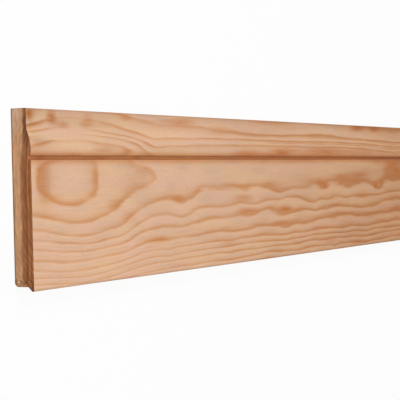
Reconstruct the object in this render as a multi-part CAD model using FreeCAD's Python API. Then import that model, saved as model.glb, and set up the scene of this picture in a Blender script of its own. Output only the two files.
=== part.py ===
import FreeCAD, Part
import math
import os

# A length of pine skirting board, lying on its back with the moulded face up
# X runs along the length, Y towards the moulded top edge, Z out of the face
# All sizes are in millimetres

# Outside sizes of the stock
LENGTH = 2400.0
HEIGHT = 169.0
THICKNESS = 20.5

# Moulding, from the top edge down
BAND_HEIGHT = 16.5
BAND_RECESS = 4.2
OGEE_HEIGHT = 21.1
OGEE_SHARE = 0.3
TURN_HEIGHT = 6.8
TURN_DROP = 1.0
QUIRK_WIDTH = 3.4
QUIRK_DEPTH = 3.0

# Bottom edge: a thin lip in front, a bevel behind it and a raised ledge
LIP_THICKNESS = 1.9
BEVEL_RUN = 4.2
LEDGE_RISE = 4.2

# Eased arrises
TOP_ARRIS = 0.6
FACE_ARRIS = 0.6
LIP_ARRIS = 0.6
BACK_ARRIS = 4.0

NODE = "skirting_board"


def at(y, z):
    """A point of the section, in the plane of the board's near end."""
    return FreeCAD.Vector(-LENGTH / 2, y, z)


def line(start, end):
    return Part.makeLine(at(*start), at(*end))


def arc(start, end):
    """A round stretch that leaves its start along the face and ends at the other point."""
    dy = end[0] - start[0]
    dz = end[1] - start[1]
    radius = (dy * dy + dz * dz) / (2 * abs(dz))
    half_turn = math.atan2(abs(dz), abs(dy))
    along = math.copysign(radius * math.sin(half_turn), dy)
    out = math.copysign(radius * (1 - math.cos(half_turn)), dz)
    middle = at(start[0] + along, start[1] + out)
    return Part.Arc(at(*start), middle, at(*end)).toShape()


def section():
    """The closed outline of the board, seen from its end."""
    top = HEIGHT / 2
    foot = -HEIGHT / 2
    ledge = foot + LEDGE_RISE
    band = THICKNESS - BAND_RECESS
    floor = THICKNESS - QUIRK_DEPTH

    # Levels of the moulding on the face, and where the slope turns from hollow to round
    band_foot = top - BAND_HEIGHT
    crest = band_foot - OGEE_HEIGHT
    turn_foot = crest - TURN_HEIGHT
    face_top = turn_foot - QUIRK_WIDTH
    ogee_middle = (band_foot - OGEE_SHARE * OGEE_HEIGHT, band + OGEE_SHARE * BAND_RECESS)
    bevel_back = THICKNESS - LIP_THICKNESS - BEVEL_RUN

    edges = [
        # Back and top edge
        line((ledge + BACK_ARRIS, 0), (top - TOP_ARRIS, 0)),
        arc((top - TOP_ARRIS, 0), (top, TOP_ARRIS)),
        line((top, TOP_ARRIS), (top, band - TOP_ARRIS)),
        arc((top - TOP_ARRIS, band), (top, band - TOP_ARRIS)),
        # Flat band and S-shaped slope
        line((top - TOP_ARRIS, band), (band_foot, band)),
        arc((band_foot, band), ogee_middle),
        arc((crest, THICKNESS), ogee_middle),
        # Underside of the swelling, and the quirk below it
        arc((crest, THICKNESS), (turn_foot, THICKNESS - TURN_DROP)),
        line((turn_foot, THICKNESS - TURN_DROP), (turn_foot, floor)),
        line((turn_foot, floor), (face_top, floor)),
        line((face_top, floor), (face_top, THICKNESS - FACE_ARRIS)),
        arc((face_top - FACE_ARRIS, THICKNESS), (face_top, THICKNESS - FACE_ARRIS)),
        # Plain face
        line((face_top - FACE_ARRIS, THICKNESS), (foot + LIP_ARRIS, THICKNESS)),
        # Lip, bevel and ledge of the bottom edge
        arc((foot + LIP_ARRIS, THICKNESS), (foot, THICKNESS - LIP_ARRIS)),
        line((foot, THICKNESS - LIP_ARRIS), (foot, THICKNESS - LIP_THICKNESS)),
        line((foot, THICKNESS - LIP_THICKNESS), (ledge, bevel_back)),
        line((ledge, bevel_back), (ledge, BACK_ARRIS)),
        arc((ledge + BACK_ARRIS, 0), (ledge, BACK_ARRIS)),
    ]
    return Part.Wire(Part.__sortEdges__(edges))


board = Part.Face(section()).extrude(FreeCAD.Vector(LENGTH, 0, 0))

os.makedirs("parts", exist_ok=True)
board.exportStep("parts/" + NODE + ".step")
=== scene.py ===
import math
import bmesh
import bpy
import numpy as np
from mathutils import Matrix, Vector


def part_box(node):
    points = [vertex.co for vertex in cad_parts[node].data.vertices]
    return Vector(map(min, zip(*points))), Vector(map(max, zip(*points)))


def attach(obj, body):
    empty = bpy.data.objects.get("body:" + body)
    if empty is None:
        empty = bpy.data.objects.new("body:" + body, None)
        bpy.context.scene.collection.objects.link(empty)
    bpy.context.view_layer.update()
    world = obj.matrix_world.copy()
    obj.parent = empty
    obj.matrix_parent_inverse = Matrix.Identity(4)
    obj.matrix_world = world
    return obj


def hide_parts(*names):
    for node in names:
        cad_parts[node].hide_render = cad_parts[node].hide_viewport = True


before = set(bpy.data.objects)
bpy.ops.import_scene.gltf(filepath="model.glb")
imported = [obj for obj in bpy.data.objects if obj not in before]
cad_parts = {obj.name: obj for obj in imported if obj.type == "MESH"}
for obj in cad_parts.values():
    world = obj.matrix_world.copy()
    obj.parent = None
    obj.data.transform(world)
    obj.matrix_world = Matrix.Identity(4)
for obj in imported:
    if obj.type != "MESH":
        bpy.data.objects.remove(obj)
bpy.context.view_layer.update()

# A length of bare pine skirting, lying on its back with the moulded face up
# Lengths are in metres. The light strip, the log and all tables of the grain are in millimetres

MM = 0.001
NODE = "skirting_board"
low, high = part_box(NODE)
LENGTH = high[0] - low[0]
HEIGHT = high[1] - low[1]
THICKNESS = high[2] - low[2]

# The board's two materials, by their slots
PLANED = 0
SAWN = 1
ENDS = 2

# Moulding, from the top edge down, and the relieved bottom edge, as in the CAD
BAND_HEIGHT = 16.5 * MM
BAND_RECESS = 4.2 * MM
OGEE_HEIGHT = 21.1 * MM
OGEE_SHARE = 0.3
TURN_HEIGHT = 6.8 * MM
TURN_DROP = 1.0 * MM
QUIRK_WIDTH = 3.4 * MM
QUIRK_DEPTH = 3.0 * MM
LIP_THICKNESS = 1.9 * MM
BEVEL_RUN = 4.2 * MM
LEDGE_RISE = 4.2 * MM
TOP_ARRIS = 0.6 * MM
FACE_ARRIS = 0.6 * MM
LIP_ARRIS = 0.6 * MM
BACK_ARRIS = 4.0 * MM

# How finely the surface is divided
STATION_STEP = 5.0 * MM
FLAT_STEP = 2.0 * MM
BACK_STEP = 3 * FLAT_STEP
ARC_STEP = 1.2 * MM
QUIRK_STEP = 0.9 * MM
CAP_STEP = 4.0 * MM

# The painted soft shade at the quirk: its reach down the face, its strength above, below and at the quirk's
# top
QUIRK_SHADE = 7.0 * MM
TURN_SHADE = 0.85
FACE_SHADE = 0.5
QUIRK_TOP_SHADE = 0.35
# Points this close count as one height, and the quirk starts just behind the turn's foot
NEAR = 0.01 * MM
QUIRK_MOUTH = 1.01 * TURN_DROP

# The edges with painted shade: how far past their rounding it reaches, and where painted shade darkens the
# band's top
ARRIS_REACH = 1.05
TOP_SHADE_START = 9 * MM
TOP_SHADE_FULL = 1 * MM
TOP_SHADE_STRENGTH = 0.3

# The light strip on the ends: its width low down, what it gains, and over which heights
SAP_WIDTH = 8.4
SAP_GAIN = 3.6
SAP_GAIN_START = 20
SAP_GAIN_HEIGHT = 50

# The log: its pith lies in front of the face, level with the plain board's upper part
PITH_HEIGHT = 20.0
PITH_DISTANCE = 130.0

# Outer edge of each year's dark wood, as growth beyond the face's innermost layer
RING_EDGES = (
    -19.0, -13.5, -8.4, -3.6, 1.1, 4.8, 9.0, 15.0, 20.2, 24.0,
    27.8, 33.0, 37.5, 41.5, 46.0, 50.5, 55.0, 59.0, 63.5, 68.0,
)

# Swellings of the layers: along, up, reach along, reach up, growth
SWELLINGS = (
    # the eye and the long nose beside it
    (-1118, 0, 118, 120, -11.0),
    (-1133, 27, 46, 22, -1.5),
    (-1133, 52, 40, 8, 0.3),
    (-1096, -6, 22, 8, 0.8),
    (-1150, -4, 22, 8, -0.3),
    (-1070, 17, 15, 17, 1.8),
    (-1172, 16, 16, 15, -0.8),
    (-1199, 18, 11, 15, 1.3),
    (-1205, 75, 28, 9, 3.2),
    (-970, 18, 36, 13, -2.0),
    (-1205, 0, 22, 90, -1.4),
    (-1090, -38, 40, 14, -1.1),
    (-1032, -42, 32, 24, -1.4),
    (-1025, 50, 30, 10, -2.3),
    (-1020, -42, 26, 18, -1.2),
    (-1080, -48, 30, 8, -0.8),
    (-1080, 56, 40, 6, -1.1),
    (-1000, 46, 12, 6, -1.3),
    (-1160, 55, 14, 6, -1.0),
    (-1172, 53, 26, 5, -0.5),
    (-1080, -80, 80, 10, -1.0),
    (-1205, -62, 12, 6, 1.3),
    # the plain stretch and the waves below it
    (-890, -14, 24, 20, -1.8),
    (-824, 5, 28, 10, 0.35),
    (-864, -2, 14, 10, -0.6),
    (-770, 5, 40, 9, -0.15),
    (-678, -15, 24, 7, -0.8),
    (-645, -26, 34, 6, 0.9),
    (-575, 0, 26, 8, -0.4),
    (-700, -45, 560, 42, -0.45),
    (-720, 27, 190, 16, -2.2),
    (-885, -58, 60, 22, -1.0),
    (-903, -32, 48, 18, -1.2),
    (-925, -62, 16, 18, -0.9),
    (-765, -50, 30, 14, -1.0),
    (-762, 7, 32, 9, 0.9),
    (-700, 6, 22, 8, 0.5),
    (-735, -20, 24, 12, 1.0),
    (-650, -22, 44, 14, 1.3),
    (-615, -5, 25, 9, -1.3),
    (-600, -58, 22, 20, -1.2),
    (-602, -12, 36, 5, 1.3),
    (-660, -78, 60, 6, 1.0),
    (-555, -18, 20, 12, 1.0),
    (-500, -70, 40, 20, 1.0),
    (-500, -30, 16, 14, -0.9),
    (-425, -36, 55, 14, 2.0),
    (-430, -80, 14, 6, -1.6),
    (-400, 30, 150, 12, -2.4),
    (-462, -1, 26, 6, -0.6),
    (-250, -4, 20, 7, -1.4),
    (-270, 14, 30, 8, -1.2),
    (-330, -42, 60, 8, 1.3),
    (-300, -60, 22, 20, -1.0),
    (-190, -28, 60, 22, 3.0),
    (-440, -38, 60, 8, 0.8),
    (-165, -34, 30, 8, 1.4),
    # the moulded band
    (-950, 58, 26, 14, 1.8),
    (-955, 50, 22, 6, 1.1),
    (-300, 66, 140, 6, 1.4),
    (-150, 62, 50, 6, 1.5),
    (-900, 56, 50, 12, 1.1),
    (-620, 71, 170, 9, 3.3),
    (-180, 66, 110, 22, 3.6),
    (-340, 72, 90, 10, 2.0),
)

# Resin-rich patches: along, up, reach along, reach up, strength
PATCHES = (
    (-728, -8, 30, 5, 0.6), (-716, -24, 34, 4, 0.7), (-604, -25, 24, 5, 0.8), (-614, -42, 32, 4, 0.7),
    (-1180, 20, 15, 21, 0.5), (-1084, 18, 7, 20, 0.3), (-1132, -5, 40, 4, 0.35), (-1176, 2, 10, 6, 0.3),
    (-950, -48, 34, 4.5, 0.58), (-1012, -21, 22, 8, 0.4), (-1108, -37, 14, 2.5, 0.25),
    (-1044, -8, 16, 7, 0.4), (-980, 24, 22, 8, 0.35), (-998, 7, 36, 7, 0.3), (-899, -6, 18, 5, 0.55),
    (-735, 6, 46, 3, 0.5), (-490, 8, 44, 6, 0.4), (-463, 2, 14, 4, 0.6), (-482, 6, 10, 3, 0.35),
    (-410, 14, 34, 4, 0.45), (-330, 15, 40, 4, 0.3), (-365, 8, 50, 4, 0.5), (-340, 16, 60, 5, 0.25),
    (-330, -14, 40, 3, 0.5), (-264, -1, 7, 6, 0.8), (-240, 4, 26, 4, 0.45), (-240, -4, 16, 2, 0.5),
    (-185, 20, 40, 16, 0.45), (-214, 21, 18, 10, 0.35), (-188, 30, 26, 6, 0.35),
    (-160, 17, 20, 7, 0.35), (-1194, 79, 6, 6, 0.9), (-1155, 77, 9, 7, 0.9), (-1134, 70, 14, 3.5, 0.65),
    (-1095, 71, 14, 3, 0.35), (-1086, 76, 12, 8, 0.45), (-1060, 70, 24, 3, 0.3), (-1196, 66, 8, 2, 0.4),
    (-1186, 70, 10, 2, 0.3), (-1190, 62, 14, 2, 0.3), (-1186, 53, 14, 2, 0.4), (-1008, 80, 16, 4, 0.5),
    (-873, 78, 34, 5, 0.6), (-780, 73, 40, 4, 0.4), (-640, 82, 70, 3, 0.4), (-325, 81, 30, 5, 0.9),
    (-256, 81, 24, 5, 0.9), (-1062, 46, 24, 3, 0.4), (-920, 78, 40, 3, 0.4), (-1010, 45, 16, 3, 0.5),
    (-714, 45, 40, 4, 0.6), (-610, 46, 36, 5, 0.7), (-470, 46, 90, 5, 0.7), (-300, 45, 90, 5, 0.5),
    (-650, 43, 80, 3, 0.4), (-770, -60, 34, 5, 0.4), (-450, -70, 34, 4, 0.5), (-345, -78, 30, 4, 0.6),
    (-180, -38, 44, 5, 0.5), (-400, -38, 50, 4, 0.5), (-300, -40, 60, 4, 0.4), (-560, -27, 30, 4, 0.4),
    (-420, -24, 50, 3, 0.4), (-480, -53, 60, 3, 0.4), (-200, -62, 50, 4, 0.4),
)

# How strongly the late wood shows: places along, then levels, pale at the near end
BOLD_LEVELS = (
    (-1200, -1000, -880, -700, -400, -100, 300, 800, 1200),
    (0.43, 0.47, 0.54, 0.88, 1.08, 1.12, 0.85, 1.0, 0.85),
)
# Places where the late wood is bolder or paler: along, up, reach along, reach up, change
BOLDER = (
    (-1190, 71, 24, 6, 1.3), (-1190, 66, 30, 3, 0.4), (-1190, 54, 24, 4, 1.3), (-1165, 59, 45, 2.5, -0.6),
    (-1185, 15, 12, 22, 0.3), (-1085, 18, 14, 22, 0.3), (-1080, -10, 130, 18, 0.3),
    (-1140, -3, 50, 8, 0.22), (-1070, -34, 20, 3, -0.25), (-1130, -44, 90, 3, 0.3),
    (-1010, -38, 60, 9, 0.25), (-975, 20, 40, 14, 0.15), (-960, -4, 60, 8, 0.12),
    (-985, -11, 26, 5, -0.15), (-940, -35, 30, 4, 0.45), (-1015, 65, 60, 12, 0.42),
    (-970, 53, 34, 8, 0.35), (-895, 56, 50, 6, 0.3), (-765, -66, 26, 8, 0.35), (-1118, 66, 40, 12, -0.5),
    (-520, -20, 36, 12, 0.35), (-400, -24, 36, 5, 0.3), (-285, -26, 36, 6, 0.35),
    (-300, -66, 260, 16, 0.2), (-360, 60, 240, 10, 0.2), (-985, 29, 26, 6, -0.35),
    (-1004, 6, 26, 5, -0.25), (-1080, 36, 16, 7, -0.3), (-836, 4, 30, 6, 0.35), (-648, 1, 24, 5, 0.6),
    (-400, 17, 170, 7, -0.5), (-250, 16, 60, 8, -0.3), (-800, 12, 170, 11, -0.4),
    (-560, 5, 110, 10, -0.5), (-940, 68, 120, 9, -0.25),
)

# How far the wood has turned from pink to a darker tan: places along, then levels
WARM_LEVELS = (
    (-1200, -850, -500, -150, 300, 900, 1200),
    (0.0, 0.1, 0.5, 1.0, 0.4, 0.9, 0.5),
)
# Places where the wood is more or less tan: along, up, reach along, reach up, change
WARMER = (
    (-430, 46, 200, 5, 0.3), (-340, 16, 70, 6, 0.4), (-190, 20, 40, 16, 0.15), (-900, 44, 250, 4, 0.3),
    (-220, 44, 120, 5, -0.6), (-220, 32, 130, 6, -0.5), (-1150, 44, 60, 5, 0.3), (-1100, 79, 110, 8, 0.2),
    (-800, 34, 400, 3, 0.2), (-1176, 14, 20, 22, 0.42), (-1084, 16, 18, 20, 0.3),
    (-1028, 14, 48, 18, 0.22), (-450, 76, 200, 6, -0.2), (-280, 62, 260, 17, -0.4), (-340, -8, 60, 5, -0.3),
)

# Places where the whole surface is lighter or darker: along, up, reach along, reach up, change
TONES = (
    (-1090, 80, 130, 9, -0.08), (-300, 78, 120, 10, 0.03), (-1135, 71, 14, 3, -0.08),
    (-1095, 71, 12, 3, -0.06), (-1155, 77, 9, 7, -0.1), (-1194, 79, 7, 7, -0.16),
    (-1189, 70, 12, 3, -0.13), (-1182, 55, 17, 2.5, -0.13), (-1191, 61, 12, 2, -0.05),
    (-280, 80, 200, 6, -0.04), (-256, 81, 20, 4, -0.1), (-320, 81, 24, 4, -0.08),
    (-1000, -66, 150, 22, 0.05), (-740, -60, 120, 24, 0.03), (-930, 60, 60, 8, 0.05),
    (-1120, 48, 60, 6, 0.04), (-1185, 18, 14, 24, -0.05), (-1171, 20, 9, 18, -0.05),
    (-280, 16, 60, 14, -0.06), (-1000, -20, 70, 10, 0.03), (-400, 31, 110, 6, 0.03),
    (-700, 4, 60, 12, 0.03),
)

# Faint lines between the rings, on the slope of the moulding: strengths by height, then by place along
SLOPE_LINES = ((45, 50, 58, 62), (0, 1, 1, 0))
SLOPE_PLACES = ((-720, -600), (0, 1))
SLOPE_STRENGTH = 0.8
# The same at the foot of the face
FOOT_LINES = ((-84, -80, -62, -56), (0.6, 0.6, 0.6, 0))
FOOT_PLACES = ((-600, -500), (0, 1))
FOOT_STRENGTH = 0.6
# The same on the lower face towards the near end
NEAR_LINES = ((-84, -50, -40, -30), (0.18, 0.2, 0.16, 0))
NEAR_PLACES = ((-950, -800), (1, 0.6))


def arc(start, end):
    """Points of a round stretch that leaves its start along the face, without its start."""
    dy = end[0] - start[0]
    dz = end[1] - start[1]
    radius = (dy * dy + dz * dz) / (2 * abs(dz))
    turn = 2 * math.atan2(abs(dz), abs(dy))
    steps = max(3, math.ceil(radius * turn / ARC_STEP))
    points = []
    for i in range(1, steps + 1):
        part = turn * i / steps
        along = math.copysign(radius * math.sin(part), dy)
        out = math.copysign(radius * (1 - math.cos(part)), dz)
        points.append((start[0] + along, start[1] + out))
    return points


def arc_back(start, end):
    """The same stretch walked from its far end to the end that runs along the face."""
    points = [end] + arc(end, start)
    return points[::-1][1:]


def straight(start, end, step=FLAT_STEP):
    """Points of a flat stretch, without its start."""
    steps = max(1, math.ceil(math.dist(start, end) / step))
    return [
        (start[0] + (end[0] - start[0]) * i / steps, start[1] + (end[1] - start[1]) * i / steps)
        for i in range(1, steps + 1)
    ]


def section():
    """The outline of the board's end as (up, out) points, from the top of the back over the front."""
    top = HEIGHT / 2
    foot = -HEIGHT / 2
    ledge = foot + LEDGE_RISE
    band = THICKNESS - BAND_RECESS
    floor = THICKNESS - QUIRK_DEPTH
    band_foot = top - BAND_HEIGHT
    crest = band_foot - OGEE_HEIGHT
    turn_foot = crest - TURN_HEIGHT
    face_top = turn_foot - QUIRK_WIDTH
    ogee_middle = (band_foot - OGEE_SHARE * OGEE_HEIGHT, band + OGEE_SHARE * BAND_RECESS)
    bevel_back = THICKNESS - LIP_THICKNESS - BEVEL_RUN

    points = [(top - TOP_ARRIS, 0.0)]
    points += arc(points[-1], (top, TOP_ARRIS))
    points += straight(points[-1], (top, band - TOP_ARRIS))
    points += arc_back(points[-1], (top - TOP_ARRIS, band))
    points += straight(points[-1], (band_foot, band))
    points += arc(points[-1], ogee_middle)
    points += arc_back(points[-1], (crest, THICKNESS))
    points += arc(points[-1], (turn_foot, THICKNESS - TURN_DROP))
    points += straight(points[-1], (turn_foot, floor), QUIRK_STEP)
    points += straight(points[-1], (face_top, floor), QUIRK_STEP)
    points += straight(points[-1], (face_top, THICKNESS - FACE_ARRIS), QUIRK_STEP)
    points += arc_back(points[-1], (face_top - FACE_ARRIS, THICKNESS))
    points += straight(points[-1], (face_top - QUIRK_SHADE, THICKNESS), QUIRK_STEP)
    points += straight(points[-1], (foot + LIP_ARRIS, THICKNESS))
    points += arc(points[-1], (foot, THICKNESS - LIP_ARRIS))
    points += straight(points[-1], (foot, THICKNESS - LIP_THICKNESS))
    points += straight(points[-1], (ledge, bevel_back))
    points += straight(points[-1], (ledge, BACK_ARRIS))
    points += arc_back(points[-1], (ledge + BACK_ARRIS, 0.0))
    points += straight(points[-1], (top - TOP_ARRIS, 0.0), BACK_STEP)[:-1]
    return np.array(points)


def swept_faces(stations, count):
    """The long faces between the stations of a swept outline, then its two ends."""
    first = np.arange(stations - 1)[:, None] * count
    here = first + np.arange(count)[None]
    after = first + (np.arange(count)[None] + 1) % count
    faces = np.stack([here, here + count, after + count, after], -1).reshape(-1, 4).tolist()
    near_end = list(range(count))
    far_end = list(range((stations - 1) * count, stations * count))
    return faces + [near_end, far_end[::-1]]


def board_mesh():
    """The board as one closed mesh: smooth planed faces and flat sawn ends."""
    outline = section()
    count = len(outline)
    stations = max(2, math.ceil(LENGTH / STATION_STEP) + 1)
    points = np.empty((stations, count, 3))
    points[:, :, 0] = np.linspace(low[0], high[0], stations)[:, None]
    points[:, :, 1:] = outline[None]
    faces = swept_faces(stations, count)

    mesh = bpy.data.meshes.new(NODE)
    mesh.from_pydata(points.reshape(-1, 3).tolist(), [], faces)
    slots = np.full(len(faces), PLANED, dtype=np.int32)
    slots[-ENDS:] = SAWN
    mesh.polygons.foreach_set("material_index", slots)
    smooth = np.ones(len(faces), dtype=bool)
    smooth[-ENDS:] = False
    mesh.polygons.foreach_set("use_smooth", smooth)
    return mesh


def cut_grid(mesh, slot, step):
    """Cuts the faces of one slot into a grid, so that they carry the grain as the long faces do."""
    work = bmesh.new()
    work.from_mesh(mesh)
    planes = [((0, y, 0), (0, 1, 0)) for y in np.arange(low[1] + step, high[1], step)]
    planes += [((0, 0, z), (0, 0, 1)) for z in np.arange(low[2] + step, high[2], step)]
    for place, normal in planes:
        faces = [f for f in work.faces if f.material_index == slot]
        around = {e for f in faces for e in f.edges} | {v for f in faces for v in f.verts}
        bmesh.ops.bisect_plane(work, geom=faces + list(around), plane_co=place, plane_no=normal)
    work.to_mesh(mesh)
    work.free()


def vertices(mesh):
    """The places of a mesh's vertices, one row each."""
    points = np.empty(3 * len(mesh.vertices))
    mesh.vertices.foreach_get("co", points)
    return points.reshape(-1, 3)


def humps(points, table):
    """The sum of soft round humps, given in millimetres, at points in metres."""
    along = points[:, 0] / MM
    up = points[:, 1] / MM
    total = np.zeros(len(points))
    for x, y, reach_x, reach_y, height in table:
        total += height * np.exp(-((along - x) / reach_x) ** 2 - ((up - y) / reach_y) ** 2)
    return total


def levels_along(points, levels, table):
    """A strength that changes along the board, with soft humps added."""
    return np.interp(points[:, 0] / MM, *levels) + humps(points, table)


def ring_count(points):
    """How many years of growth lie inside each point of the log."""
    aside = points[:, 1] / MM - PITH_HEIGHT
    below = PITH_DISTANCE + (THICKNESS - points[:, 2]) / MM
    growth = np.hypot(aside, below) - PITH_DISTANCE + humps(points, SWELLINGS)
    return np.interp(growth, RING_EDGES, np.arange(len(RING_EDGES)))


def sap_edge(points):
    """How far out from the back the light strip on the ends reaches."""
    up = points[:, 1] / MM
    rise = np.clip((up - SAP_GAIN_START) / SAP_GAIN_HEIGHT, 0, 1)
    return (SAP_WIDTH + SAP_GAIN * rise * rise * (3 - 2 * rise)) * MM


def quirk_painted_shade(points):
    """How much painted shade each point near the quirk gets, from 0 at the crest and on the face to 1
    inside.
    """
    crest = high[1] - BAND_HEIGHT - OGEE_HEIGHT
    turn_foot = crest - TURN_HEIGHT
    face_top = turn_foot - QUIRK_WIDTH
    up = points[:, 1]
    out = points[:, 2]
    turn = TURN_SHADE * np.clip((crest - up) / TURN_HEIGHT, 0, 1) ** 2
    face = FACE_SHADE * np.clip(1 - (face_top - up) / QUIRK_SHADE, 0, 1) ** 1.5
    shaded = np.where(up > turn_foot - NEAR, turn, face)
    inside = (up < turn_foot + NEAR) & (up > face_top - NEAR) & (out < THICKNESS - QUIRK_MOUTH)
    quirk = np.interp(up, (face_top, turn_foot), (1.0, QUIRK_TOP_SHADE))
    shaded = np.where(inside, quirk, shaded)
    return np.where(out < THICKNESS / 2, 0.0, shaded)


def edge_painted_shade(points):
    """Where the long edges of the board are, and the band's top, which get a little painted shade."""
    up = points[:, 1]
    out = points[:, 2]
    top_reach = ARRIS_REACH * TOP_ARRIS
    lip_reach = ARRIS_REACH * LIP_ARRIS
    corners = (out < top_reach) | (out > THICKNESS - BAND_RECESS - top_reach)
    top = (up > high[1] - top_reach) & corners
    lip = (up < low[1] + lip_reach) & (out > THICKNESS - lip_reach)
    top_shade = TOP_SHADE_STRENGTH * np.interp(up, (high[1] - TOP_SHADE_START, high[1] - TOP_SHADE_FULL), (0, 1))
    return np.maximum((top | lip).astype(float), top_shade * (out > THICKNESS / 2))


def fine(points):
    """How strongly faint lines show between the rings, in the three places that have them."""
    along = points[:, 0] / MM
    up = points[:, 1] / MM
    slope = np.interp(up, *SLOPE_LINES) * np.interp(along, *SLOPE_PLACES)
    foot = np.interp(up, *FOOT_LINES) * np.interp(along, *FOOT_PLACES)
    near = np.interp(up, *NEAR_LINES) * np.interp(along, *NEAR_PLACES)
    return np.maximum(SLOPE_STRENGTH * slope + FOOT_STRENGTH * foot, near)


def store(mesh, name, values):
    """Keeps a number for each vertex, which the materials read by name."""
    kept = mesh.attributes.new(name, "FLOAT", "POINT")
    kept.data.foreach_set("value", values.astype(np.float32))


# Where nearly all of a noise's values lie
NOISE_RANGE = (0.3, 0.7)


class Nodes:
    """Short ways to add and join the nodes of one material."""

    def __init__(self, name):
        self.material = bpy.data.materials.new(name)
        self.material.use_nodes = True
        self.tree = self.material.node_tree
        self.tree.nodes.clear()

    def add(self, kind, inputs=None, **settings):
        node = self.tree.nodes.new("ShaderNode" + kind)
        for key, value in settings.items():
            setattr(node, key, value)
        for key, value in (inputs or {}).items():
            self.put(node.inputs[key], value)
        return node

    def put(self, socket, value):
        if isinstance(value, bpy.types.NodeSocket):
            self.tree.links.new(value, socket)
        else:
            socket.default_value = value

    def math(self, operation, a, b=0.0, c=0.0):
        return self.add("Math", {0: a, 1: b, 2: c}, operation=operation).outputs[0]

    def times(self, product, *others):
        """The product of two or more values, in their order."""
        for other in others:
            product = self.math("MULTIPLY", product, other)
        return product

    def noise(self, place, size, detail=2.0, rough=0.5):
        """Soft noise whose lumps measure size, in millimetres, along, up and out."""
        scale = tuple(1 / (s * MM) for s in size)
        moved = self.add("VectorMath", {0: place, 1: scale}, operation="MULTIPLY").outputs[0]
        inputs = {"Vector": moved, "Scale": 1.0, "Detail": detail, "Roughness": rough}
        return self.add("TexNoise", inputs).outputs["Fac"]

    def centre(self, noise):
        """Noise moved so that it lies evenly about zero."""
        return self.math("SUBTRACT", noise, 0.5)

    def spread(self, value, low_in, high_in, low_out=0.0, high_out=1.0):
        """Stretches a value from one range to another, and stops at its ends."""
        inputs = {0: value, 1: low_in, 2: high_in, 3: low_out, 4: high_out}
        return self.add("MapRange", inputs).outputs[0]

    def vary(self, noise, low_out, high_out):
        """Stretches noise so that it runs from one value to another."""
        return self.spread(noise, *NOISE_RANGE, low_out, high_out)

    def ramp(self, value, stops):
        """A colour or grey for each value, from (place, colour) stops."""
        node = self.add("ValToRGB", {"Fac": value})
        ramp = node.color_ramp
        while len(ramp.elements) < len(stops):
            ramp.elements.new(0.5)
        for element, (place, colour) in zip(ramp.elements, stops):
            element.position = place
            element.color = colour
        return node.outputs["Color"]

    def mix(self, part, a, b, blend="MIX"):
        node = self.add("Mix", data_type="RGBA", blend_type=blend, clamp_factor=True)
        for socket, value in zip((node.inputs[0], node.inputs[6], node.inputs[7]), (part, a, b)):
            self.put(socket, value)
        return node.outputs[2]

    def darken(self, colour, light):
        """A colour times an even grey, which may be a little above white."""
        grey_level = self.add("CombineColor", {0: light, 1: light, 2: light}).outputs[0]
        return self.mix(1.0, colour, grey_level, "MULTIPLY")

    def attribute(self, name):
        return self.add("Attribute", attribute_name=name).outputs["Fac"]

    def place(self):
        return self.add("TexCoord").outputs["Object"]

    def axes(self, place):
        """The along, up and out parts of a place."""
        parts = self.add("SeparateXYZ", {0: place}).outputs
        return parts["X"], parts["Y"], parts["Z"]

    def bump(self, height, strength, depth):
        """Fine relief from a height, as the shader's normal."""
        return self.add("Bump", {"Strength": strength, "Distance": depth, "Height": height}).outputs[0]

    def finish(self, colour, roughness, specular, relief):
        """Ends the material in one shader."""
        inputs = {"Base Color": colour, "Roughness": roughness, "Specular IOR Level": specular}
        shader = self.add("BsdfPrincipled", {**inputs, "Normal": relief})
        self.add("OutputMaterial", {"Surface": shader.outputs[0]})
        return self.material


def shade(red, green, blue):
    """A colour written as on a screen, from 0 to 255, as the shader's linear one."""
    linear = [c / 12.92 if c <= 0.04045 else ((c + 0.055) / 1.055) ** 2.4
              for c in (red / 255, green / 255, blue / 255)]
    return (*linear, 1.0)


def grey(value):
    """An even grey as a colour."""
    return (value, value, value, 1.0)


# The sizes of the noises' lumps, in millimetres: along, up and out
WAVE_SIZE = (55, 9, 9)
FIBRE_SIZE = (14, 1.2, 1.2)
WIGGLE_SIZE = (58, 22, 22)
DRIFT_SIZE = (70, 6, 6)
FAINT_SIZE = (70, 7, 7)
STREAK_SIZE = (38, 0.9, 0.9)
HAIR_SIZE = (9, 0.28, 0.28)
TINT_SIZE = (110, 16, 16)
CLOUD_SIZE = (60, 11, 11)
STRETCH_SIZE = (120, 40, 40)
DUCT_SIZE = (7, 0.4, 0.4)
END_STREAK_SIZE = (9, 40, 1.1)
STAIN_SIZE = (9, 11, 3.0)
SPECK_SIZE = (9, 2.6, 2.2)
SAW_SIZE = (9, 20, 0.45)

# How far the noises shift the rings, in years
WAVE_SHIFT = 0.34
FIBRE_SHIFT = 0.06
WIGGLE_SHIFT = 0.6
# Where the wiggles start, along the board, and where they end, going up
WIGGLE_ALONG = (-0.95, -0.65)
WIGGLE_UP = (0.0, 20 * MM)

# How dark the wood is through a year: light in spring, darkest at the end, then light again soon
LATE_WOOD = (
    (0.0, grey(0.9)), (0.05, grey(0.52)), (0.11, grey(0.14)), (0.17, grey(0.0)), (0.42, grey(0.04)),
    (0.62, grey(0.18)), (0.78, grey(0.5)), (0.92, grey(1.0)), (1.0, grey(0.9)),
)
# How bold a year's dark wood is: the least, how much more by chance, and how it drifts and streaks
YEAR_LEAST = 0.85
YEAR_CHANCE = 0.3
BAND_DRIFT = (0.65, 1.3)
BAND_STREAKS = (0.8, 1.15)
# The bolder a band, the lower its power, which makes it wider
BOLD_RANGE = (0.3, 1.1)
BAND_POWERS = (1.5, 0.85)
# Which part of the noise brings the faint lines in, and how faint and bold they then are
FAINT_RANGE = (0.38, 0.6)
FAINT_DRIFT = (0.1, 1.3)

# The light wood's colours, and which parts of the noises lead from one to the next
EARLY_YELLOW = shade(226, 185, 148)
EARLY_PINK = shade(224, 181, 152)
EARLY_GREY = shade(215, 177, 149)
TINT_RANGE = (0.38, 0.62)
CLOUD_RANGE = (0.46, 0.7)
CLOUD_STRENGTH = 0.7

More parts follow.
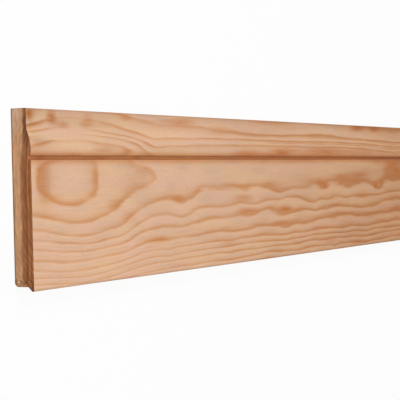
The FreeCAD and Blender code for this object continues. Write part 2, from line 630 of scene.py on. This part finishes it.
# The dark wood's colour and how soon it is full, and the still darker one that lies over it
LATE = shade(218, 143, 70)
LATE_RANGE = (0.0, 0.8)
LATE_STRENGTH = 0.66
LATE_CORE = shade(158, 98, 46)
CORE_STRENGTH = 0.3

# The resin's colour, the part of the year over which it grows, its share before that, and its streaks
RESIN = shade(198, 117, 41)
RESIN_SEASON = (0.2, 0.9)
RESIN_EARLY = 0.8
RESIN_STREAKS = (0.5, 1.3)
RESIN_RANGE = (0.1, 0.8)

# How light the wood is by its streaks, hairs and whole stretches
STREAK_LIGHT = (0.95, 1.04)
HAIR_LIGHT = (0.97, 1.03)
STRETCH_LIGHT = (0.97, 1.03)
# How light it is early and late in the year, and in a duct
SEASON_RANGE = (0.12, 0.6)
SEASON_LIGHT = (1.02, 0.995)
DUCT_RANGE = (0.7, 0.78)
DUCT_LIGHT = 0.84

# What the colour is multiplied by where the wood is tan, as painted shade on the edges, and as painted
# shade with a painted warm bounce towards and in the quirk
WARM = (0.875, 0.75, 0.59, 1.0)
EDGE_SHADE_TINT = (0.8, 0.74, 0.7, 1.0)
PAINTED_SHADE_COLOURS = (
    (0.0, grey(1.0)), (0.15, (0.96, 0.88, 0.79, 1.0)), (0.45, (0.86, 0.65, 0.44, 1.0)),
    (0.7, (0.74, 0.44, 0.21, 1.0)), (1.0, (0.5, 0.25, 0.06, 1.0)),
)

# Fine relief of the planed faces: the planer's ripple from crest to crest, and each part's height
RIPPLE = 2.2 * MM
STREAK_RELIEF = 0.3
HAIR_RELIEF = 0.25
RIPPLE_RELIEF = 0.05
PLANED_RELIEF = 0.15 * MM
PLANED_BUMP = 0.3
# Their shine: dark wood and streaks are smoother
STREAK_SMOOTHNESS = 0.4
SMOOTH_RANGE = (0.0, 1.4)
PLANED_ROUGHNESS = (0.68, 0.46)
PLANED_SPECULAR = 0.3

# The sawn ends' relief and shine
SAWN_RELIEF = 0.3 * MM
SAWN_BUMP = 0.5
SAWN_ROUGHNESS = 0.8
SAWN_SPECULAR = 0.2

# The end's colours, by distance outwards from the light strip's edge, which wanders a little
EDGE_WANDER = 2.0 * MM
END_RANGE = (-1.0 * MM, 11.0 * MM)
END_WOOD = (
    (0.0, shade(206, 156, 115)), (0.05, shade(198, 148, 108)), (0.2, shade(162, 110, 74)),
    (0.34, shade(154, 100, 62)), (0.48, shade(162, 104, 66)), (0.58, shade(136, 80, 42)),
    (0.68, shade(166, 107, 68)), (0.8, shade(174, 113, 72)), (0.9, shade(148, 90, 48)),
    (0.96, shade(160, 102, 60)),
)
# Higher up, the strip is painted paler, as lit above a slanted shadow edge, and only as far out as its own
# edge
END_PAINTED_LIGHT = shade(208, 168, 138)
PALE_RISE = (46 * MM, 58 * MM)
PALE_SLANT = -2.6
PALE_RANGE = (0.02, 0.16)
# What the rings on the end are multiplied by, and how they grow bolder outwards
END_LATE = (0.62, 0.45, 0.33, 1.0)
END_LATE_RANGE = (0.1, 0.4)
END_LATE_LEVELS = (0.2, 0.5)

# How light the end is by its streaks and stains, and by its specks, which fade out above the foot
END_STREAK_LIGHT = (0.87, 1.22)
STAIN_LIGHT = (0.82, 1.15)
SPECK_LIGHT = (1.35, 0.5)
SPECKLED_FOOT = (-76 * MM, -68 * MM)
SPECKS_ABOVE = 0.1
# The dark seam: which colours it lies over, the heights where it starts and fades, and its light
SEAM_RANGE = (0.08, 0.2)
SEAM_START = (46 * MM, 62 * MM)
SEAM_FADE = (67 * MM, 78 * MM)
SEAM_TOP = 0.5
SEAM_LIGHT = 0.64
# Painted shade along the end's edges: the ledge and the top by height, the back by distance outwards
LEDGE_EDGE = (-80.2 * MM, -79.4 * MM)
LEDGE_PAINTED_SHADE = 0.7
TOP_EDGE = (83.2 * MM, 84.2 * MM)
TOP_PAINTED_SHADE = 0.65
BACK_EDGE = (0.2 * MM, 2.1 * MM)
BACK_PAINTED_SHADE = 0.36


def grain(nodes, place):
    """The number of the year at each point, with the small waves that real layers have."""
    along, up, _ = nodes.axes(place)
    waves = nodes.centre(nodes.noise(place, WAVE_SIZE))
    fibres = nodes.centre(nodes.noise(place, FIBRE_SIZE))
    count = nodes.math("MULTIPLY_ADD", waves, WAVE_SHIFT, nodes.attribute("ring"))
    count = nodes.math("MULTIPLY_ADD", fibres, FIBRE_SHIFT, count)
    wiggles = nodes.centre(nodes.noise(place, WIGGLE_SIZE, detail=0.0))
    wiggles = nodes.times(wiggles, nodes.spread(along, *WIGGLE_ALONG, 0.0, WIGGLE_SHIFT))
    return nodes.math("MULTIPLY_ADD", wiggles, nodes.spread(up, *WIGGLE_UP, 1.0, 0.0), count)


def late_wood(nodes, place, count, through):
    """How dark each year's late wood is: bands that thicken, thin and fade along their length."""
    year = nodes.math("FLOOR", count)
    lot = nodes.add("TexWhiteNoise", {"W": year}, noise_dimensions="1D").outputs["Value"]
    lot = nodes.math("MULTIPLY_ADD", lot, YEAR_CHANCE, YEAR_LEAST)
    drift = nodes.vary(nodes.noise(place, DRIFT_SIZE), *BAND_DRIFT)
    bold = nodes.times(nodes.attribute("bold"), drift, lot)
    power = nodes.spread(bold, *BOLD_RANGE, *BAND_POWERS)
    band = nodes.math("POWER", nodes.ramp(through, LATE_WOOD), power)
    return nodes.times(band, bold)


def faint_lines(nodes, place, count):
    """Faint lines at the rings and halfway between them, which come and go."""
    halves = nodes.math("FRACT", nodes.times(count, 2.0))
    drift = nodes.spread(nodes.noise(place, FAINT_SIZE, detail=1.0), *FAINT_RANGE, *FAINT_DRIFT)
    return nodes.times(nodes.ramp(halves, LATE_WOOD), nodes.attribute("fine"), drift)


def early_wood(nodes, place):
    """The light wood: yellow and pink stretches with greyer clouds."""
    tint = nodes.spread(nodes.noise(place, TINT_SIZE), *TINT_RANGE)
    clouds = nodes.spread(nodes.noise(place, CLOUD_SIZE), *CLOUD_RANGE, 0.0, CLOUD_STRENGTH)
    return nodes.mix(clouds, nodes.mix(tint, EARLY_YELLOW, EARLY_PINK), EARLY_GREY)


def resin(nodes, through, streaks):
    """How full of resin each point is: in streaks, and most in the late wood."""
    near_late = nodes.spread(through, *RESIN_SEASON, RESIN_EARLY, 1.0)
    share = nodes.times(nodes.attribute("patch"), near_late, nodes.vary(streaks, *RESIN_STREAKS))
    return nodes.spread(share, *RESIN_RANGE)


def fibre_light(nodes, place, through, streaks, hairs):
    """How light each fibre is, with the resin ducts as short dark dashes."""
    lines = nodes.times(nodes.vary(streaks, *STREAK_LIGHT), nodes.vary(hairs, *HAIR_LIGHT))
    stretches = nodes.vary(nodes.noise(place, STRETCH_SIZE), *STRETCH_LIGHT)
    season = nodes.spread(through, *SEASON_RANGE, *SEASON_LIGHT)
    ducts = nodes.spread(nodes.noise(place, DUCT_SIZE, detail=0.0), *DUCT_RANGE, 1.0, DUCT_LIGHT)
    return nodes.times(lines, stretches, nodes.attribute("tone"), season, ducts)


def planed_relief(nodes, place, late, streaks, hairs):
    """Raised late wood and fibres, and the planer's ripple."""
    along = nodes.axes(place)[0]
    ripple = nodes.math("SINE", nodes.times(along, 2 * math.pi / RIPPLE))
    relief = nodes.math("MULTIPLY_ADD", streaks, STREAK_RELIEF, late)
    relief = nodes.math("MULTIPLY_ADD", hairs, HAIR_RELIEF, relief)
    relief = nodes.math("MULTIPLY_ADD", ripple, RIPPLE_RELIEF, relief)
    return nodes.bump(relief, PLANED_BUMP, PLANED_RELIEF)


def planed_pine():
    """The faces that the planer left: light early wood, orange late wood, fine fibre lines."""
    nodes = Nodes("planed_pine")
    place = nodes.place()
    count = grain(nodes, place)
    through = nodes.math("FRACT", count)
    streaks = nodes.noise(place, STREAK_SIZE, detail=3.0, rough=0.6)
    hairs = nodes.noise(place, HAIR_SIZE, rough=0.6)
    late = late_wood(nodes, place, count, through)
    late = nodes.math("MAXIMUM", late, faint_lines(nodes, place, count))
    late = nodes.times(late, nodes.vary(streaks, *BAND_STREAKS))

    colour = early_wood(nodes, place)
    colour = nodes.mix(nodes.spread(late, *LATE_RANGE, 0.0, LATE_STRENGTH), colour, LATE)
    colour = nodes.mix(nodes.times(late, CORE_STRENGTH), colour, LATE_CORE)
    colour = nodes.mix(resin(nodes, through, streaks), colour, RESIN)
    colour = nodes.darken(colour, fibre_light(nodes, place, through, streaks, hairs))
    colour = nodes.mix(nodes.attribute("warm"), colour, WARM, "MULTIPLY")
    # Painted shade in and around the quirk, with a painted warm bounce where it is light
    colour = nodes.mix(1.0, colour, nodes.ramp(nodes.attribute("quirk_painted_shade"), PAINTED_SHADE_COLOURS), "MULTIPLY")
    # Painted shade along the long edges and the band's top
    colour = nodes.mix(nodes.attribute("edge_painted_shade"), colour, EDGE_SHADE_TINT, "MULTIPLY")

    relief = planed_relief(nodes, place, late, streaks, hairs)
    smoothness = nodes.math("ADD", late, nodes.times(streaks, STREAK_SMOOTHNESS))
    roughness = nodes.spread(smoothness, *SMOOTH_RANGE, *PLANED_ROUGHNESS)
    return nodes.finish(colour, roughness, PLANED_SPECULAR, relief)


def end_marks(nodes, place, stains, inside):
    """How light the end is: streaks and stains, specks at the foot, the seam and painted shade along its
    edges.
    """
    _, up, out = nodes.axes(place)
    streaks = nodes.noise(place, END_STREAK_SIZE, detail=3.0, rough=0.6)
    marks = nodes.times(nodes.vary(streaks, *END_STREAK_LIGHT), nodes.vary(stains, *STAIN_LIGHT))
    specks = nodes.vary(nodes.noise(place, SPECK_SIZE, detail=1.0), *SPECK_LIGHT)
    specks = nodes.math("SUBTRACT", specks, 1.0)
    foot = nodes.spread(up, *SPECKLED_FOOT, 1.0, SPECKS_ABOVE)
    specks = nodes.math("MULTIPLY_ADD", specks, foot, 1.0)
    # Painted shade along the end's ledge and back edges
    ledge = nodes.spread(up, *LEDGE_EDGE, LEDGE_PAINTED_SHADE, 1.0)
    back = nodes.spread(out, *BACK_EDGE, BACK_PAINTED_SHADE, 1.0)
    seam = nodes.times(nodes.spread(inside, *SEAM_RANGE), nodes.spread(up, *SEAM_START))
    seam = nodes.times(seam, nodes.spread(up, *SEAM_FADE, 1.0, SEAM_TOP))
    seam = nodes.spread(seam, 0.0, 1.0, 1.0, SEAM_LIGHT)
    # Painted shade along the end's top edge
    top = nodes.spread(up, *TOP_EDGE, 1.0, TOP_PAINTED_SHADE)
    return nodes.times(marks, specks, ledge, back, seam, top)


def sawn_pine():
    """The sawn ends: a light strip at the back, then red-brown wood in upright streaks."""
    nodes = Nodes("sawn_pine")
    place = nodes.place()
    _, up, out = nodes.axes(place)
    stains = nodes.noise(place, STAIN_SIZE, detail=3.0, rough=0.6)
    edge = nodes.math("MULTIPLY_ADD", nodes.centre(stains), EDGE_WANDER, nodes.attribute("sap_edge"))
    inside = nodes.spread(nodes.math("SUBTRACT", out, edge), *END_RANGE)

    colour = nodes.ramp(inside, END_WOOD)
    # Painted light: the strip's upper part turns paler above a slanted shadow edge
    slant = nodes.math("MULTIPLY_ADD", out, PALE_SLANT, up)
    painted_light = nodes.times(nodes.spread(slant, *PALE_RISE), nodes.spread(inside, *PALE_RANGE, 1.0, 0.0))
    colour = nodes.mix(painted_light, colour, END_PAINTED_LIGHT)
    late = nodes.ramp(nodes.math("FRACT", grain(nodes, place)), LATE_WOOD)
    late = nodes.times(late, nodes.spread(inside, *END_LATE_RANGE, *END_LATE_LEVELS))
    colour = nodes.mix(late, colour, END_LATE, "MULTIPLY")
    colour = nodes.darken(colour, end_marks(nodes, place, stains, inside))

    relief = nodes.bump(nodes.noise(place, SAW_SIZE, rough=0.6), SAWN_BUMP, SAWN_RELIEF)
    return nodes.finish(colour, SAWN_ROUGHNESS, SAWN_SPECULAR, relief)


def make_board():
    """The whole board: its mesh, the numbers that the materials read, and the materials."""
    mesh = board_mesh()
    cut_grid(mesh, SAWN, CAP_STEP)
    points = vertices(mesh)
    store(mesh, "ring", ring_count(points))
    store(mesh, "patch", humps(points, PATCHES))
    store(mesh, "sap_edge", sap_edge(points))
    store(mesh, "quirk_painted_shade", quirk_painted_shade(points))
    store(mesh, "edge_painted_shade", edge_painted_shade(points))
    store(mesh, "bold", levels_along(points, BOLD_LEVELS, BOLDER))
    store(mesh, "fine", fine(points))
    store(mesh, "warm", levels_along(points, WARM_LEVELS, WARMER))
    store(mesh, "tone", 1 + humps(points, TONES))
    mesh.materials.append(planed_pine())
    mesh.materials.append(sawn_pine())
    piece = bpy.data.objects.new("board", mesh)
    bpy.context.scene.collection.objects.link(piece)
    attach(piece, "root")
    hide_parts(NODE)


# The room: a pale floor just under the board, even light from all sides, soft lamps and the camera
FLOOR_SIZE = 12.0
FLOOR_GAP = 0.2 * MM
FLOOR_GREY = 0.85
# How white the camera sees the floor and the room, and how strongly the room lights the board
SEEN_WHITE = 0.93
ROOM_LIGHT = 0.42
# Each lamp: name, place, target, size, power
LAMPS = (
    ("key", (-1.7, 1.7, 2.1), (-0.7, 0, 0), 1.2, 32),
    ("fill", (-2.2, -0.4, 2.4), (-0.7, 0, 0), 2.0, 21.5),
    ("far", (1.1, 0.4, 1.6), (1.0, 0, 0), 1.0, 3.5),
)
# The photo's upright direction
UPRIGHT = Vector((0, 1, 0))
CAMERA_PLACE = Vector((-2.453, 0.017, 0.799))
CAMERA_TARGET = Vector((-0.8466, -0.0084, 0.0205))
CAMERA_ROLL = -1.37
CAMERA_LENS = 144.0
CAMERA_REACH = 50.0


def make_floor():
    """A plain floor that the camera sees as white, and that keeps some of the shadow."""
    nodes = Nodes("floor")
    plain = nodes.add("BsdfDiffuse", {"Color": grey(FLOOR_GREY)}).outputs[0]
    white = nodes.add("Emission", {"Color": grey(1.0), "Strength": 1.0}).outputs[0]
    path = nodes.add("LightPath")
    seen = nodes.math("MAXIMUM", path.outputs["Is Camera Ray"], path.outputs["Is Glossy Ray"])
    seen = nodes.math("MAXIMUM", seen, path.outputs["Is Transmission Ray"])
    mixed = nodes.add("MixShader", {0: nodes.times(seen, SEEN_WHITE), 1: plain, 2: white}).outputs[0]
    nodes.add("OutputMaterial", {"Surface": mixed})
    half = FLOOR_SIZE / 2
    mesh = bpy.data.meshes.new("floor")
    corners = [(-half, -half, 0), (half, -half, 0), (half, half, 0), (-half, half, 0)]
    mesh.from_pydata(corners, [], [(0, 1, 2, 3)])
    mesh.materials.append(nodes.material)
    floor = bpy.data.objects.new("floor", mesh)
    floor.location.z = low[2] - FLOOR_GAP
    bpy.context.scene.collection.objects.link(floor)


def aim(place, target):
    """The turn that looks from one place to another, with the photo's upright direction up."""
    back = (place - target).normalized()
    right = UPRIGHT.cross(back).normalized()
    return Matrix((right, back.cross(right), back)).transposed().to_4x4()


def add_lamp(name, place, target, size, power):
    """A soft round lamp that looks at its target."""
    lamp = bpy.data.lights.new(name, "AREA")
    lamp.shape = "DISK"
    lamp.size = size
    lamp.energy = power
    thing = bpy.data.objects.new(name, lamp)
    thing.matrix_world = Matrix.Translation(place) @ aim(Vector(place), Vector(target))
    bpy.context.scene.collection.objects.link(thing)


def make_light():
    """The lamps, and a room that is white to the camera but lights the board more softly."""
    for lamp in LAMPS:
        add_lamp(*lamp)
    world = bpy.data.worlds.new("room")
    world.use_nodes = True
    tree = world.node_tree
    path = tree.nodes.new("ShaderNodeLightPath")
    strength = tree.nodes.new("ShaderNodeMapRange")
    strength.inputs["To Min"].default_value = ROOM_LIGHT
    strength.inputs["To Max"].default_value = SEEN_WHITE
    background = tree.nodes["Background"]
    background.inputs["Color"].default_value = grey(1.0)
    tree.links.new(path.outputs["Is Camera Ray"], strength.inputs["Value"])
    tree.links.new(strength.outputs[0], background.inputs["Strength"])
    bpy.context.scene.world = world


def make_camera():
    """The camera where the photo was taken from, with its long lens."""
    view = bpy.data.cameras.new("camera")
    view.lens = CAMERA_LENS
    view.clip_end = CAMERA_REACH
    camera = bpy.data.objects.new("camera", view)
    roll = Matrix.Rotation(math.radians(CAMERA_ROLL), 4, "Z")
    camera.matrix_world = Matrix.Translation(CAMERA_PLACE) @ aim(CAMERA_PLACE, CAMERA_TARGET) @ roll
    bpy.context.scene.collection.objects.link(camera)
    bpy.context.scene.camera = camera


make_board()
make_floor()
make_light()
make_camera()
bpy.context.scene.view_settings.view_transform = "Standard"
